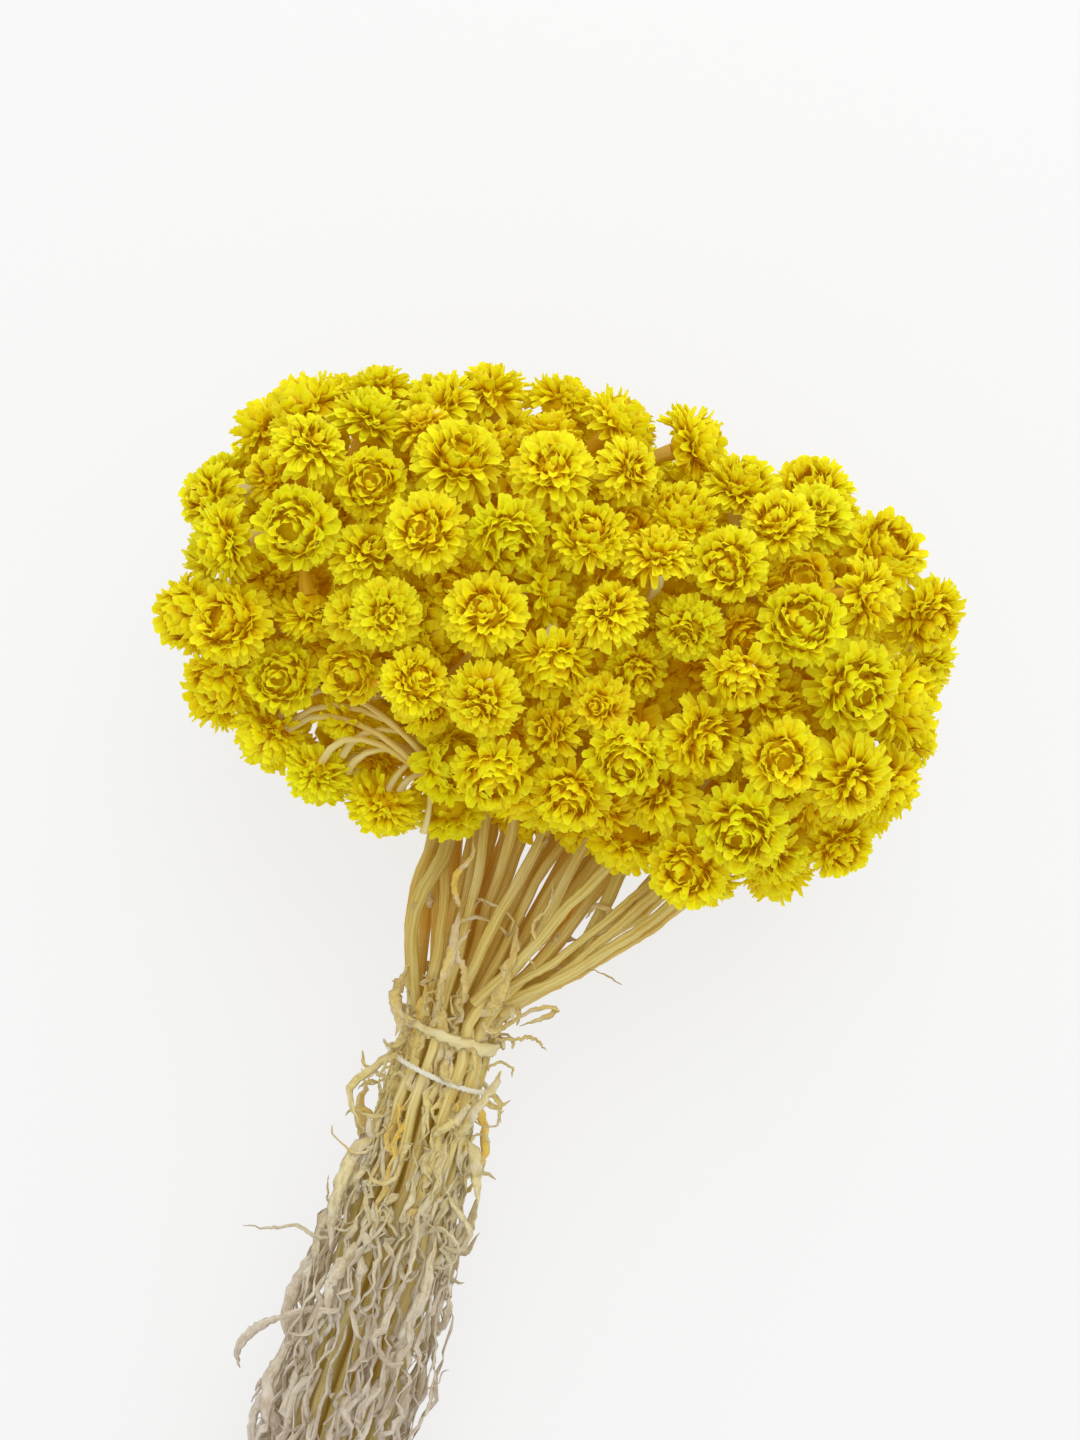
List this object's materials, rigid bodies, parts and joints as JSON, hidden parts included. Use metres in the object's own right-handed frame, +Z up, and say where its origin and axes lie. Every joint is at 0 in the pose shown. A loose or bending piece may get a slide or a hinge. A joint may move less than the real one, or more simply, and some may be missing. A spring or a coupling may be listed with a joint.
{
  "type": "dried flower bunch",
  "caption": "Tied bunch of dried curry plant lying on its side: papery yellow button blooms in a dense rounded head, on straw-coloured stems with shrivelled leaves, for dry arrangements.",
  "frame": {"origin": "middle of the lying bunch's footprint, at the height of the surface it rests on", "axes": "+Y along the bunch from the cut stem ends to the blooms, +X across it to the right as seen from above, +Z up from the surface"},
  "size_m": [0.1078, 0.2172, 0.0585],
  "materials": {
    "bloom": "dry papery bracts",
    "stem": "dry fibrous stem",
    "cord": "thin matte cord",
    "strip": "dry plant fibre"
  },
  "bodies": {
    "root": {"flower_cluster_01": "bloom", "flower_cluster_02": "bloom", "flower_cluster_03": "bloom", "flower_cluster_04": "bloom", "flower_cluster_05": "bloom", "flower_cluster_06": "bloom", "flower_cluster_07": "bloom", "flower_cluster_08": "bloom", "flower_cluster_09": "bloom", "flower_cluster_10": "bloom", "flower_cluster_11": "bloom", "flower_cluster_12": "bloom", "flower_cluster_13": "bloom", "flower_cluster_14": "bloom", "flower_cluster_15": "bloom", "flower_cluster_16": "bloom", "flower_cluster_17": "bloom", "flower_cluster_18": "bloom", "flower_cluster_19": "bloom", "flower_cluster_20": "bloom", "flower_cluster_21": "bloom", "flower_cluster_22": "bloom", "flower_cluster_23": "bloom", "flower_cluster_24": "bloom", "flower_cluster_25": "bloom", "flower_cluster_26": "bloom", "flower_cluster_27": "bloom", "flower_cluster_28": "bloom", "leafy_stem_01": "stem", "leafy_stem_02": "stem", "leafy_stem_03": "stem", "leafy_stem_04": "stem", "leafy_stem_05": "stem", "leafy_stem_06": "stem", "leafy_stem_07": "stem", "leafy_stem_08": "stem", "leafy_stem_09": "stem", "leafy_stem_10": "stem", "leafy_stem_11": "stem", "leafy_stem_12": "stem", "leafy_stem_13": "stem", "leafy_stem_14": "stem", "leafy_stem_15": "stem", "leafy_stem_16": "stem", "leafy_stem_17": "stem", "leafy_stem_18": "stem", "leafy_stem_19": "stem", "leafy_stem_20": "stem", "leafy_stem_21": "stem", "leafy_stem_22": "stem", "leafy_stem_23": "stem", "leafy_stem_24": "stem", "leafy_stem_25": "stem", "leafy_stem_26": "stem", "leafy_stem_27": "stem", "leafy_stem_28": "stem", "tie_cord": "cord", "leaf_strip": "strip"}
  },
  "joints": []
}
